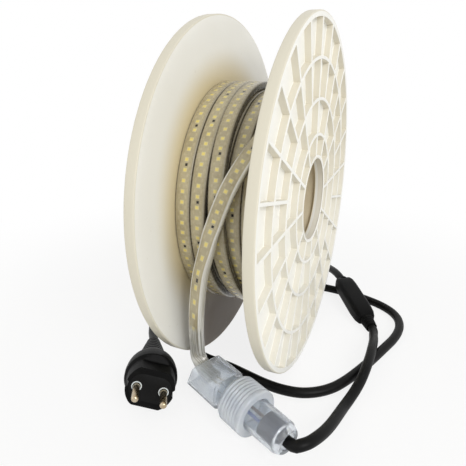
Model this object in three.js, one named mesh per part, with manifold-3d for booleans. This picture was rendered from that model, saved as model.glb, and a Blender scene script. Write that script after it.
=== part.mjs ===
// LED string light on a ribbed plastic reel, with its strip connector, in-line rectifier and mains plug.
// Millimetres, +Z up. The reel stands on both rims, its axis along X; the origin is on the floor under it.
import * as THREE from "three";
import { mergeVertices } from "three/addons/utils/BufferGeometryUtils.js";
import Module from "manifold-3d";

const wasm = await Module();
wasm.setup();

// Fits, and how far a cutting tool runs past what it cuts
const seatClearance = 0.3;
const cableClearance = 0.5;
const floorClearance = 0.05;
const overrun = 1;

// Reel flanges
const flangeRadius = 135;
const flangeThickness = 7.4;
const flangeGap = 68;
const flangeFacets = 60;
const rimChamfer = 0.8;
const boreRadius = 31.7;
const boreWall = 2.6;
const rimWall = 4;
const ribWidth = 2.2;
const pocketDepth = 5;
const ringRibRadii = [50, 76, 104.5];
const ribCounts = [12, 12, 24, 24];
const ribPhase = THREE.MathUtils.degToRad(1.5);

// Reel drum between the flanges
const drumRadius = 51.2;
const drumWall = 3.2;
const drumBoreRadius = 34.5;
const drumFacets = 36;
const spigotLength = 5;
const spigotWall = 3;

// LED strip: clear jacket, slot along it, and the lamp board in the slot
const stripWidth = 11;
const stripThickness = 5.8;
const stripCorner = 1.3;
const slotWidth = 9.2;
const slotHeight = 2.6;
const boardWidth = 8.4;
const boardThickness = 1.4;

// Winding: six turns across, the three on the right one layer lower
const turnsAcross = 6;
const highTurns = 3;
const layerStep = 6;
const windingRadius = 87.5;
const windingFacets = 40;
const turnGrooveDepth = 1.7;
const turnGrooveWidth = 2.6;
const stripSink = 0.2;
const stripDip = 2.7;

// Strip connector: clear socket, ribbed collar, clear cable housing
const socketWidth = 26;
const socketHeight = 21;
const socketCorner = 4;
const socketWall = 2;
const socketBlockLength = 34;
const socketNeckDiameter = 25.4;
const neckRoot = 4;
const socketLength = 46;
const mouthSetback = 8;
const collarDiameter = 34;
const collarLength = 22;
const collarOverlap = 6;
const collarRidges = 6;
const collarRidgeDepth = 0.8;
const ridgeCrest = 0.4;
const ridgeFoot = 0.8;
const collarWall = 2.2;
const collarPlainEnd = 3;
const collarChamfer = 1.6;
const collarRelief = 0.6;
const housingShoulderDiameter = 27;
const housingShoulderLength = 4;
const housingDiameter = 23;
const housingMouthDiameter = 18.5;
const housingLength = 35;
const housingTaperLength = 5;
const housingBoreDiameter = 18;
const housingMouthClearance = 1.8;
const housingDraft = 0.4;
const housingEdge = 1.5;
const sealSetback = 16;
const sealLength = 13;
const sealWireSeat = 4;
const sealCableSeat = 7;
const cableHoleFacets = 16;
const connectorTilt = Math.atan(0.0605);
const connectorHeading = Math.atan2(-39.9, 80.8);
const connectorStart = new THREE.Vector2(-18, -87.2);
const roundFacets = 20;

// Contacts in the connector
const carrierLength = 12;
const carrierStart = 32;
const contactDiameter = 1.2;
const contactSpacing = 5;
const contactReach = 14;
const contactSeat = 7;
const coreDiameter = 2.4;
const contactFacets = 8;

// Round cable
const cableDiameter = 7.8;
const cableSides = 8;
const plugLead = 9;
const boxLead = 4;
const connectorLead = 2.5;

// In-line rectifier box
const boxLength = 62;
const boxWidth = 20;
const boxHeight = 14;
const boxCorner = 4;
const boxWall = 2;
const boxEndWall = 3;
const boxTilt = THREE.MathUtils.degToRad(8.6);
const boxFront = new THREE.Vector2(86, 54.6);
const boxHeading = Math.atan2(-52.2, 32.1);
const reliefNeckDiameter = 9.8;
const frontReliefLength = 12;
const rearReliefLength = 4;
const reliefBaseDiameter = 12.6;
const reliefTipDiameter = 10.2;
const reliefFacets = 20;
const rectifierBoardSize = [44, 13, 1.4];
const bridgeSize = [14, 9, 4];

// Mains plug, its front flattened above and below the pins
const plugFaceCentre = new THREE.Vector2(-35.8, -127.6);
const plugHeading = Math.atan2(-0.856, 0.517);
const plugRoll = THREE.MathUtils.degToRad(-20);
const plugTilt = THREE.MathUtils.degToRad(11.5);
const plugFrontRadius = 17.2;
const plugFrontLength = 13.6;
const plugRadius = 19;
const plugDomeStart = 21;
const plugDomeCrown = [29, 17.8];
const plugDomeFoot = [36, 14.4];
const plugBodyEnd = 42;
const plugReliefEnd = 82;
const plugReliefRadius = 12;
const plugReliefStep = 1;
const plugTipRadius = 5.7;
const plugCableDepth = 10;
const plugFacets = 28;
const plugEdge = 0.6;
const plugShoulder = 2;
const plugFrontHeight = 27.6;
const pinBridgeWidth = 30;
const pinBridgeHeight = 20;
const pinBridgeCorner = 9;
const pinBridgeDepth = 9;
const pinSpacing = 19;
const pinDiameter = 4.8;
const pinLength = 19;
const pinFacets = 16;
const pinNose = 1.8;
const pinSeatDepth = 6;
const pinRingDiameter = 7.2;
const pinRingFacets = 20;
const pinRingHeight = 1.2;
const pinRingRise = 0.4;
const notchWidth = 5;
const notchDepth = 1.6;
const notchLength = 11;

// Shared places worked out from the sizes above
const reelAxisHeight = flangeRadius * Math.cos(Math.PI / flangeFacets);
const turnPitch = flangeGap / turnsAcross;
const lowWindingRadius = windingRadius - layerStep;
const cableBoreRadius = cableDiameter / 2 + cableClearance;

const stripOnLowLayer = stripThickness / 2 - stripSink;
const stripOverTurns = layerStep + stripThickness / 2 + seatClearance;

// Routes chosen by hand. The lead-off turn: [angle from the front in degrees, x, height of the strip's
// middle above the low layer], from the bottom of the reel over its back and top to the front.
const leadOffRoute = [
  [250, 5.8, stripOnLowLayer], [215, 9.5, stripOnLowLayer], [180, 14, stripOnLowLayer],
  [145, 19.5, stripOnLowLayer], [110, 24.6, stripOnLowLayer], [80, 27, stripOnLowLayer],
  [58, 25, stripOnLowLayer], [42, 20.5, stripOnLowLayer + 0.5], [29, 13.6, stripOverTurns - stripDip],
  [17, 6.4, stripOverTurns], [8, 1, stripOverTurns], [0, -3.4, stripOverTurns],
];
// The hanging tail, from the front of the winding to just above the connector's mouth
const leadOffSteps = 36;
const tailLeadLength = 6;
const tailSteps = 28;
const tailTwist = THREE.MathUtils.degToRad(-18);
const tailTwistEnd = 0.25;
const tailFlatSpan = [0.74, 0.96];
const tailRoute = [
  [-7.8, -92.6, 118], [-11.5, -95.4, 100.5], [-14.4, -95.2, 81], [-16.8, -93, 64],
  [-18.8, -89.6, 48.5], [-19.9, -86.6, 37.5], [-20.2, -85.4, 29.5],
];
const mouthPoints = [[6, 1.2], [12, 0], [18, 0]];
const outputCableRoute = [
  [95.3, 32.6, 4.9], [96.6, 20.8, 7.8], [97.2, 8.6, 10.8], [97.4, -2.8, 12.4], [97.3, -13.6, 12.6],
  [96.8, -23.2, 12.2], [95.9, -32, 10.7], [94.4, -41, 8.2], [92.1, -50.5, 5.8], [89.4, -60.5, 4.4],
  [86.8, -71.5, 4.6], [85, -84.4, 7.4], [83.1, -97.5, 10.6], [80.7, -108.7, 13.4], [77.7, -117.8, 15.5],
  [74.4, -124.4, 16.6], [70.3, -128.2, 16.5], [68.1, -129, 15.7], [65.5, -128.4, 15.3],
];
const outputCableSteps = 34;
const mainsCableRoute = [
  [-90.6, -39, 4.3], [-97.4, -27, 4.1], [-103, -15.3, 4.1], [-106.6, -1.5, 4.1], [-106.2, 12.2, 4.1],
  [-99.6, 23.6, 4.1], [-88.8, 30.9, 4.1], [-75.8, 32, 4.1], [-63.7, 27.4, 4.1], [-55, 17.8, 4.1],
  [-51.9, 5.5, 4.1], [-52.3, -7.5, 4.1], [-52.4, -20.5, 4.1], [-51.2, -32.6, 4.1], [-46.9, -43.2, 4.1],
  [-39.2, -50.9, 4.1], [-29, -55, 4.1], [-17, -56.8, 4.1], [-4, -59.1, 4.1], [11, -63, 4.1],
  [26, -66.7, 4.1], [41, -68.3, 4.1], [55, -66.4, 4.1], [66.5, -60.4, 4.1], [75.9, -51.3, 4.1],
  [82.9, -40.1, 4.1], [89.2, -26.9, 4.1], [95.7, -11.3, 4.1], [102.3, 6, 4.1], [107.4, 20, 4.1],
  [111.8, 32.6, 4.1], [114.9, 46.3, 4.1], [115.6, 60, 4.1], [112.8, 72.8, 4.1], [106.2, 83.6, 4.1],
  [97.3, 91.4, 4.1], [87, 97.2, 4.1], [70, 103.6, 4.1], [52, 108, 4.1], [36, 109.7, 4.1],
  [21, 109.4, 4.1], [7.5, 109.3, 4.1], [-4.4, 110.2, 4.1], [-16, 116.6, 4.1], [-23.6, 127.6, 4.1],
  [-25.3, 141, 4.1], [-20.3, 153.5, 4.1], [-9.9, 162.2, 4.3], [3.4, 165, 5.2], [16.2, 161.2, 7.2],
  [26.2, 151.7, 10.4], [34.6, 138.2, 14.4], [42.2, 125.8, 17],
];
const mainsCableSteps = 78;

// Materials
function finish(name, color, roughness, metalness = 0, opacity = 1) {
  return new THREE.MeshStandardMaterial({
    name, color, roughness, metalness, opacity, transparent: opacity < 1,
  });
}
const whitePlastic = () => finish("white plastic", 0xeeede2, 0.55);
const stripPlastic = () => finish("clear strip jacket", 0xc9c3a6, 0.3);
const clearPlastic = () => finish("clear connector plastic", 0xaab4bf, 0.25, 0, 0.6);
const blackPlastic = () => finish("black plastic", 0x0d0e0d, 0.5);

// Solids and booleans
function orient(geometry) {
  geometry.deleteAttribute("uv");
  geometry.deleteAttribute("normal");
  const joined = mergeVertices(geometry, 1e-4);
  const place = joined.getAttribute("position");
  const corners = Array.from(joined.getIndex().array);
  const kept = [];
  for (let i = 0; i < corners.length; i += 3) {
    const [a, b, c] = corners.slice(i, i + 3);
    if (a !== b && b !== c && c !== a) kept.push(a, b, c);
  }
  const vertex = (i) => new THREE.Vector3().fromBufferAttribute(place, i);
  let volume = 0;
  for (let i = 0; i < kept.length; i += 3) {
    volume += vertex(kept[i]).dot(vertex(kept[i + 1]).cross(vertex(kept[i + 2])));
  }
  if (volume < 0) kept.reverse();
  joined.setIndex(kept);
  return joined;
}

function toSolid(geometry) {
  const closed = orient(geometry);
  const vertProperties = new Float32Array(closed.getAttribute("position").array);
  const triVerts = new Uint32Array(closed.getIndex().array);
  return new wasm.Manifold(new wasm.Mesh({ numProp: 3, vertProperties, triVerts }));
}

function toGeometry(solid) {
  const mesh = solid.getMesh();
  const geometry = new THREE.BufferGeometry();
  geometry.setAttribute("position", new THREE.BufferAttribute(new Float32Array(mesh.vertProperties), 3));
  geometry.setIndex(new THREE.BufferAttribute(new Uint32Array(mesh.triVerts), 1));
  geometry.computeVertexNormals();
  return geometry;
}

function cut(body, ...tools) {
  return toGeometry(tools.reduce((solid, tool) => solid.subtract(toSolid(tool)), toSolid(body)));
}

function join(body, ...others) {
  return toGeometry(others.reduce((solid, other) => solid.add(toSolid(other)), toSolid(body)));
}

// A turned solid about X. Profile points are [x, radius]; a profile closes on itself or ends on the axis.
function turned(profile, facets) {
  const points = profile.map(([x, radius]) => new THREE.Vector2(radius, x));
  const geometry = new THREE.LatheGeometry(points, facets);
  geometry.rotateZ(-Math.PI / 2);
  return geometry;
}

function ring(inner, outer, start, end, facets) {
  return turned([[start, inner], [start, outer], [end, outer], [end, inner], [start, inner]], facets);
}

function rod(radius, start, end, facets) {
  return turned([[start, 0], [start, radius], [end, radius], [end, 0]], facets);
}

function block(size, centre) {
  return new THREE.BoxGeometry(...size).translate(...centre);
}

function roundedRectangle(width, height, corner) {
  const shape = new THREE.Shape();
  const x = width / 2;
  const y = height / 2;
  const reach = Math.min(corner, x, y);
  shape.moveTo(-x + reach, -y);
  shape.lineTo(x - reach, -y);
  shape.absarc(x - reach, -y + reach, reach, -Math.PI / 2, 0);
  shape.absarc(x - reach, y - reach, reach, 0, Math.PI / 2);
  shape.absarc(-x + reach, y - reach, reach, Math.PI / 2, Math.PI);
  shape.absarc(-x + reach, -y + reach, reach, Math.PI, Math.PI * 1.5);
  return shape;
}

function polygon(points) {
  return new THREE.Shape(points.map(([x, y]) => new THREE.Vector2(x, y)));
}

// A bar along X with a rounded rectangle as its section, wide along Y and high along Z
function bar(width, height, corner, start, end) {
  const options = { depth: end - start, bevelEnabled: false, curveSegments: 2 };
  const geometry = new THREE.ExtrudeGeometry(roundedRectangle(height, width, corner), options);
  geometry.rotateY(Math.PI / 2);
  return geometry.translate(start, 0, 0);
}

// The strip's section laid along a path, up to the share of it given by reach: a straight extrusion bent so
// that its width follows sideAt(t)
function bentBar(shape, path, steps, sideAt, reach = 1) {
  const options = { depth: 1, steps, bevelEnabled: false, curveSegments: 1 };
  const geometry = new THREE.ExtrudeGeometry(shape, options);
  const place = geometry.getAttribute("position");
  for (let i = 0; i < place.count; i += 1) {
    const along = THREE.MathUtils.clamp(place.getZ(i), 0, 1) * reach;
    const tangent = path.getTangentAt(along);
    const normal = new THREE.Vector3().crossVectors(tangent, sideAt(along)).normalize();
    const side = new THREE.Vector3().crossVectors(normal, tangent).normalize();
    const point = path.getPointAt(along);
    point.addScaledVector(side, place.getX(i)).addScaledVector(normal, place.getY(i));
    place.setXYZ(i, point.x, point.y, point.z);
  }
  return geometry;
}

function roundTube(path, diameter, sides, steps) {
  const section = new THREE.Shape();
  for (let i = 0; i < sides; i += 1) {
    const angle = (2 * Math.PI * i) / sides;
    const corner = [Math.cos(angle) * diameter / 2, Math.sin(angle) * diameter / 2];
    if (i === 0) section.moveTo(...corner);
    else section.lineTo(...corner);
  }
  section.closePath();
  return new THREE.ExtrudeGeometry(section, { steps, extrudePath: path, bevelEnabled: false });
}

function smoothPath(points) {
  return new THREE.CatmullRomCurve3(points.map((p) => new THREE.Vector3(...p)), false, "centripetal");
}

function named(name, geometry, material) {
  const mesh = new THREE.Mesh(orient(geometry), material);
  mesh.name = name;
  return mesh;
}

// Reel
function pocket(inner, outer, start, end) {
  const innerInset = Math.asin(ribWidth / 2 / inner);
  const outerInset = Math.asin(ribWidth / 2 / outer);
  const shape = new THREE.Shape();
  shape.absarc(0, 0, outer, start + outerInset, end - outerInset, false);
  shape.absarc(0, 0, inner, end - innerInset, start + innerInset, true);
  shape.closePath();
  return shape;
}

function pocketRow(inner, outer, count) {
  const shapes = [];
  const step = (2 * Math.PI) / count;
  for (let i = 0; i < count; i += 1) {
    shapes.push(pocket(inner, outer, ribPhase + i * step, ribPhase + (i + 1) * step));
  }
  const options = { depth: pocketDepth + overrun, bevelEnabled: false, curveSegments: 1 };
  return new THREE.ExtrudeGeometry(shapes, options);
}

// One flange: inner face at x = 0 with the drum's spigot, ribbed outer face at x = flangeThickness
function flange() {
  const t = flangeThickness;
  const disc = turned([
    [0, boreRadius], [0, flangeRadius - rimChamfer], [rimChamfer, flangeRadius],
    [t - rimChamfer, flangeRadius], [t, flangeRadius - rimChamfer], [t, boreRadius], [0, boreRadius],
  ], flangeFacets).rotateX(Math.PI / flangeFacets);
  const spigotRadius = drumRadius - drumWall - seatClearance;
  const spigot = ring(spigotRadius - spigotWall, spigotRadius, -spigotLength, overrun, drumFacets);
  const half = ribWidth / 2;
  const rows = [boreRadius + boreWall, ...ringRibRadii, flangeRadius - rimWall];
  const pockets = rows.slice(1).map((outer, i) => {
    const inner = rows[i] + (i === 0 ? 0 : half);
    const edge = i === rows.length - 2 ? outer : outer - half;
    const row = pocketRow(inner, edge, ribCounts[i]);
    return row.rotateY(Math.PI / 2).translate(t - pocketDepth, 0, 0);
  });
  return cut(join(disc, spigot), ...pockets);
}

function drum() {
  const end = flangeGap / 2 - seatClearance;
  const web = drumWall / 2;
  const outer = drumRadius;
  const inner = drumBoreRadius;
  return turned([
    [-end, outer], [end, outer], [end, outer - drumWall], [web, outer - drumWall], [web, inner + drumWall],
    [end, inner + drumWall], [end, inner], [-end, inner], [-end, inner + drumWall], [-web, inner + drumWall],
    [-web, outer - drumWall], [-end, outer - drumWall], [-end, outer],
  ], drumFacets);
}

// The winding's turns, seen as ridges, joined with the turn that leads off across them
function winding() {
  const end = flangeGap / 2 - seatClearance;
  const profile = [[-end, drumRadius + seatClearance]];
  for (let turn = 0; turn < turnsAcross; turn += 1) {
    const top = turn < highTurns ? windingRadius : lowWindingRadius;
    const left = Math.max(-end, -flangeGap / 2 + turn * turnPitch);
    const right = Math.min(end, -flangeGap / 2 + (turn + 1) * turnPitch);
    profile.push([left, top - turnGrooveDepth], [left + turnGrooveWidth / 2, top]);
    profile.push([right - turnGrooveWidth / 2, top]);
    if (turn === highTurns - 1 || turn === turnsAcross - 1) profile.push([right, top - turnGrooveDepth]);
  }
  profile.push([end, drumRadius + seatClearance], [-end, drumRadius + seatClearance]);
  const turns = turned(profile, windingFacets);
  const leadOff = bentBar(stripOutline(), leadOffPath(), leadOffSteps, () => new THREE.Vector3(1, 0, 0));
  return join(turns, leadOff);
}

function leadOffPath() {
  const points = leadOffRoute.map(([degrees, x, height]) => {
    const angle = THREE.MathUtils.degToRad(degrees);
    const radius = lowWindingRadius + height;
    return [x, -radius * Math.cos(angle), radius * Math.sin(angle)];
  });
  return smoothPath(points);
}

// Connector frame: X runs from the strip's mouth to the cable, Z is up, resting on the collar's lower edge
const collarEnd = socketLength - collarOverlap + collarLength;
const connectorRise = collarDiameter / 2 * Math.cos(connectorTilt) + collarEnd * Math.sin(connectorTilt);
const connector = new THREE.Group();
connector.position.set(connectorStart.x, connectorStart.y, connectorRise + floorClearance);
connector.rotation.set(0, connectorTilt, connectorHeading, "ZYX");
connector.updateMatrixWorld();

function alongConnector(distance, lateral = 0, height = 0) {
  return new THREE.Vector3(distance, lateral, height).applyMatrix4(connector.matrixWorld);
}

function stripOutline() {
  const x = stripWidth / 2;
  const y = stripThickness / 2;
  const c = stripCorner;
  return polygon([[-x + c, -y], [x - c, -y], [x, -y + c], [x, y - c], [x - c, y], [-x + c, y], [-x, y - c],
    [-x, -y + c]]);
}

function plainSection(width, height) {
  const x = width / 2;
  const y = height / 2;
  return polygon([[-x, -y], [x, -y], [x, y], [-x, y]]);
}

function jacketSection() {
  const section = stripOutline();
  section.holes.push(plainSection(slotWidth, slotHeight));
  return section;
}

// The tail goes on from the lead-off turn's end in the same direction
function tailPath() {
  const wound = leadOffPath();
  const heading = wound.getTangent(1);
  const leadOffEnd = wound.getPoint(1).add(new THREE.Vector3(0, 0, reelAxisHeight));
  const ahead = (distance) => leadOffEnd.clone().addScaledVector(heading, distance).toArray();
  const mouth = mouthPoints.map(([distance, rise]) => {
    const point = alongConnector(distance);
    return [point.x, point.y, point.z + rise];
  });
  return smoothPath([ahead(seatClearance), ahead(tailLeadLength), ...tailRoute, ...mouth]);
}

// The strip leaves the winding with its width along X, hangs slightly twisted and is flat in the connector
function tailSide(along) {
  const twist = tailTwist * THREE.MathUtils.smoothstep(along, 0, tailTwistEnd);
  const hanging = new THREE.Vector3(Math.cos(twist), Math.sin(twist), 0);
  const flat = alongConnector(0, 1).sub(alongConnector(0));
  return hanging.lerp(flat, THREE.MathUtils.smoothstep(along, ...tailFlatSpan)).normalize();
}

function stripTail() {
  return bentBar(jacketSection(), tailPath(), tailSteps, tailSide);
}

// The board stops one step short of the jacket's end, which leaves room for the contacts
function tailBoard() {
  const section = plainSection(boardWidth, boardThickness);
  const steps = tailSteps - 1;
  return bentBar(section, tailPath(), steps, tailSide, steps / tailSteps);
}

// Connector pieces, in its own frame
function socket() {
  const bodyBlock = bar(socketWidth, socketHeight, socketCorner, 0, socketBlockLength);
  const neck = rod(socketNeckDiameter / 2, socketBlockLength - neckRoot, socketLength, roundFacets);
  const inner = bar(socketWidth - 2 * socketWall, socketHeight - 2 * socketWall, socketCorner - socketWall,
    -overrun, socketBlockLength - socketWall);
  const boreStart = socketBlockLength - socketWall - seatClearance;
  const neckBore = rod(carrierRadius() + seatClearance, boreStart, socketLength + overrun, roundFacets);
  const slant = Math.atan2(mouthSetback, socketHeight);
  const mouthCut = block([2 * socketHeight, 2 * socketWidth, 3 * socketHeight], [-socketHeight, 0, 0])
    .rotateY(slant).translate(mouthSetback / 2, 0, 0);
  return cut(join(bodyBlock, neck), inner, neckBore, mouthCut);
}

function carrierRadius() {
  return socketNeckDiameter / 2 - socketWall - seatClearance;
}

function contactHole(side, radius, start, end) {
  return rod(radius, start, end, contactFacets).translate(0, side * contactSpacing / 2, 0);
}

function contactCarrier() {
  const body = rod(carrierRadius(), carrierStart, carrierStart + carrierLength, roundFacets);
  const pinBore = contactDiameter / 2 + seatClearance;
  const wireBore = coreDiameter / 2 + seatClearance;
  const seat = carrierStart + contactSeat;
  const holes = [-1, 1].flatMap((side) => [
    contactHole(side, pinBore, carrierStart - overrun, seat + overrun),
    contactHole(side, wireBore, seat, carrierStart + carrierLength + overrun),
  ]);
  return cut(body, ...holes);
}

function contactPin(side) {
  return contactHole(side, contactDiameter / 2, contactReach, carrierStart + contactSeat);
}

function coreWire(side) {
  const end = sealStart() + sealWireSeat - seatClearance;
  return contactHole(side, coreDiameter / 2, carrierStart + contactSeat + seatClearance, end);
}

function collar() {
  const start = socketLength - collarOverlap;
  const end = collarEnd;
  const outer = collarDiameter / 2;
  const plainOuter = outer - collarRelief;
  const pitch = (collarLength - 2 * collarPlainEnd) / collarRidges;
  const profile = [[start, plainOuter - collarChamfer], [start + collarChamfer, plainOuter]];
  profile.push([start + collarPlainEnd, plainOuter]);
  for (let ridge = 0; ridge < collarRidges; ridge += 1) {
    const at = start + collarPlainEnd + ridge * pitch;
    profile.push([at + ridgeCrest * pitch, outer], [at + ridgeFoot * pitch, outer - collarRidgeDepth]);
  }
  const clearNeck = socketNeckDiameter / 2 + seatClearance;
  const clearShoulder = housingShoulderDiameter / 2 + seatClearance;
  const lipBore = housingDiameter / 2 + seatClearance;
  const step = start + collarOverlap;
  profile.push([end - collarChamfer, outer], [end, outer], [end, lipBore], [end - collarWall, lipBore]);
  profile.push([end - collarWall, clearShoulder], [step, clearShoulder], [step, clearNeck]);
  profile.push([start, clearNeck], profile[0]);
  return turned(profile, roundFacets);
}

function housingStart() {
  return collarEnd - collarWall - seatClearance - housingShoulderLength;
}

function sealStart() {
  return housingStart() + sealSetback;
}

function cableHousing() {
  const start = housingStart();
  const end = start + housingLength;
  const shoulder = start + housingShoulderLength;
  const outer = housingDiameter / 2;
  const bore = housingBoreDiameter / 2;
  const boreEnd = sealStart() + sealLength + seatClearance;
  const mouth = cableDiameter / 2 + housingMouthClearance;
  return turned([
    [start, housingShoulderDiameter / 2], [shoulder, housingShoulderDiameter / 2], [shoulder, outer],
    [end - housingTaperLength, outer - housingDraft], [end - housingEdge, housingMouthDiameter / 2],
    [end, housingMouthDiameter / 2 - housingEdge], [end, mouth], [boreEnd, mouth], [boreEnd, bore],
    [start, bore], [start, housingShoulderDiameter / 2],
  ], roundFacets);
}

function cableSeal() {
  const start = sealStart();
  const end = start + sealLength;
  const body = rod(housingBoreDiameter / 2 - seatClearance, start, end, roundFacets);
  const wireBore = coreDiameter / 2 + seatClearance;
  const wires = [-1, 1].map((side) => contactHole(side, wireBore, start - overrun, start + sealWireSeat));
  const cableHole = rod(cableBoreRadius, start + sealCableSeat, end + overrun, cableHoleFacets);
  return cut(body, ...wires, cableHole);
}

// Round cables
function cablePath(start, route, end) {
  return smoothPath([...start, ...route, ...end].map((p) => (Array.isArray(p) ? p : p.toArray())));
}

function roundCable(path, steps) {
  return roundTube(path, cableDiameter, cableSides, steps);
}

function outputCablePath() {
  const sealSeat = sealStart() + sealCableSeat + seatClearance;
  const sealEnd = sealStart() + sealLength;
  const reliefEnd = boxLength + frontReliefLength;
  return cablePath([boxLength, reliefEnd, reliefEnd + boxLead].map((x) => alongBox(x)), outputCableRoute,
    [sealEnd + connectorLead, sealEnd, sealSeat].map((x) => alongConnector(x)));
}

function mainsCablePath() {
  const seat = plugReliefEnd - plugCableDepth + seatClearance;
  const fromPlug = [seat, plugReliefEnd, plugReliefEnd + plugLead].map((x) => alongPlug(x));
  return cablePath(fromPlug, mainsCableRoute,
    [-rearReliefLength - boxLead, -rearReliefLength, 0].map((x) => alongBox(x)));
}

// Box frame: X runs from the rear end, propped on the cable, to the front end on the floor
const box = new THREE.Group();
const boxFloor = Math.max(
  boxHeight / 2 * Math.cos(boxTilt) + boxLength * Math.sin(boxTilt),
  reliefTipDiameter / 2 * Math.cos(boxTilt) + (boxLength + frontReliefLength) * Math.sin(boxTilt),
);
box.rotation.set(0, boxTilt, boxHeading, "ZYX");
box.position.set(
  boxFront.x - boxLength * Math.cos(boxTilt) * Math.cos(boxHeading),
  boxFront.y - boxLength * Math.cos(boxTilt) * Math.sin(boxHeading),
  boxFloor + floorClearance,
);
box.updateMatrixWorld();

function alongBox(distance) {
  return new THREE.Vector3(distance, 0, 0).applyMatrix4(box.matrixWorld);
}

function boxHalf(upper) {
  const shell = bar(boxWidth, boxHeight, boxCorner, 0, boxLength);
  const cavity = bar(boxWidth - 2 * boxWall, boxHeight - 2 * boxWall, boxCorner - boxWall,
    boxEndWall, boxLength - boxEndWall);
  const neckHole = rod(reliefNeckDiameter / 2 + seatClearance, -overrun, boxLength + overrun, reliefFacets);
  const away = upper ? -1 : 1;
  const halfSpace = block([boxLength + 2 * overrun, boxWidth + 2 * overrun, boxHeight],
    [boxLength / 2, 0, away * (boxHeight / 2 - seatClearance / 2)]);
  return cut(shell, cavity, neckHole, halfSpace);
}

// A strain relief: neck through the box's end wall, then a tapered sleeve outside it
function boxRelief(length) {
  const neck = reliefNeckDiameter / 2;
  const step = seatClearance;
  return turned([
    [-boxEndWall, cableBoreRadius], [-boxEndWall, neck], [step, neck], [step, reliefBaseDiameter / 2],
    [length, reliefTipDiameter / 2], [length, cableBoreRadius], [-boxEndWall, cableBoreRadius],
  ], reliefFacets);
}

function rectifierBoard() {
  const height = -boxHeight / 2 + boxWall + seatClearance + rectifierBoardSize[2] / 2;
  return block(rectifierBoardSize, [boxLength / 2, 0, height]);
}

function bridgeRectifier() {
  const boardTop = -boxHeight / 2 + boxWall + seatClearance + rectifierBoardSize[2];
  return block(bridgeSize, [boxLength / 2, 0, boardTop + seatClearance + bridgeSize[2] / 2]);
}

// Plug frame: X runs back from the face towards the cable, pins along -X, lying nose up on its round back
const plug = new THREE.Group();
plug.rotation.set(-plugRoll, plugTilt, plugHeading + Math.PI, "ZYX");
const plugLowest = ([x, radius]) => x * Math.sin(plugTilt) + radius * Math.cos(plugTilt);
const plugRise = Math.max(...plugDome().map(plugLowest));
plug.position.set(plugFaceCentre.x, plugFaceCentre.y, plugRise + floorClearance);
plug.updateMatrixWorld();

function alongPlug(distance) {
  return new THREE.Vector3(distance, 0, 0).applyMatrix4(plug.matrixWorld);
}

function plugDome() {
  return new THREE.SplineCurve([
    new THREE.Vector2(plugDomeStart, plugRadius),
    new THREE.Vector2(...plugDomeCrown),
    new THREE.Vector2(...plugDomeFoot),
    new THREE.Vector2(plugBodyEnd, plugReliefRadius + plugReliefStep),
  ]).getPoints(6).map((p) => [p.x, p.y]);
}

function plugBody() {
  const front = plugFrontLength;
  const body = turned([
    [0, 0], [0, plugFrontRadius - plugEdge], [plugEdge, plugFrontRadius], [front, plugFrontRadius],
    [front + plugEdge, plugRadius - plugEdge], [front + plugShoulder, plugRadius], ...plugDome(),
    [plugBodyEnd + plugEdge, plugReliefRadius], [plugReliefEnd, plugTipRadius],
    [plugReliefEnd, cableBoreRadius], [plugReliefEnd - plugCableDepth, cableBoreRadius],
    [plugReliefEnd - plugCableDepth, 0],
  ], plugFacets);
  const seat = bar(pinBridgeWidth + 2 * seatClearance, pinBridgeHeight + 2 * seatClearance,
    pinBridgeCorner + seatClearance, -overrun, pinBridgeDepth + seatClearance);
  const flats = [-1, 1].map((side) => block([front + overrun, 2 * plugRadius, plugRadius],
    [(front - overrun) / 2, 0, side * (plugFrontHeight + plugRadius) / 2]));
  const notches = [-1, 1].map((side) => block([notchLength + overrun, 2 * notchDepth, notchWidth],
    [(notchLength - overrun) / 2, side * plugFrontRadius, 0]));
  return cut(body, seat, ...flats, ...notches);
}

function pinBridge() {
  const body = bar(pinBridgeWidth, pinBridgeHeight, pinBridgeCorner, 0, pinBridgeDepth);
  const ringSeat = pinRingHeight - pinRingRise + seatClearance;
  const holes = [-1, 1].flatMap((side) => [
    rod(pinDiameter / 2 + seatClearance, -overrun, pinSeatDepth + seatClearance, pinFacets),
    rod(pinRingDiameter / 2 + seatClearance, -overrun, ringSeat, pinRingFacets),
  ].map((tool) => tool.translate(0, side * pinSpacing / 2, 0)));
  return cut(body, ...holes);
}

function plugPin(side) {
  const radius = pinDiameter / 2;
  const tip = -pinLength;
  return turned([
    [tip, 0], [tip, radius * 0.45], [tip + pinNose / 3, radius * 0.8], [tip + pinNose, radius],
    [pinSeatDepth, radius], [pinSeatDepth, 0],
  ], pinFacets).translate(0, side * pinSpacing / 2, 0);
}

function pinRing(side) {
  const bore = pinDiameter / 2 + seatClearance;
  return ring(bore, pinRingDiameter / 2, -pinRingRise, pinRingHeight - pinRingRise, pinRingFacets)
    .translate(0, side * pinSpacing / 2, 0);
}

// Assembly
const reel = new THREE.Group();
reel.position.set(0, 0, reelAxisHeight);
const rightFlange = named("flange_right", flange(), whitePlastic());
rightFlange.position.x = flangeGap / 2;
const leftFlange = named("flange_left", flange(), whitePlastic());
leftFlange.position.x = -flangeGap / 2;
leftFlange.rotation.z = Math.PI;
reel.add(
  rightFlange,
  leftFlange,
  named("hub_drum", drum(), whitePlastic()),
  named("strip_winding", winding(), stripPlastic()),
);

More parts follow.
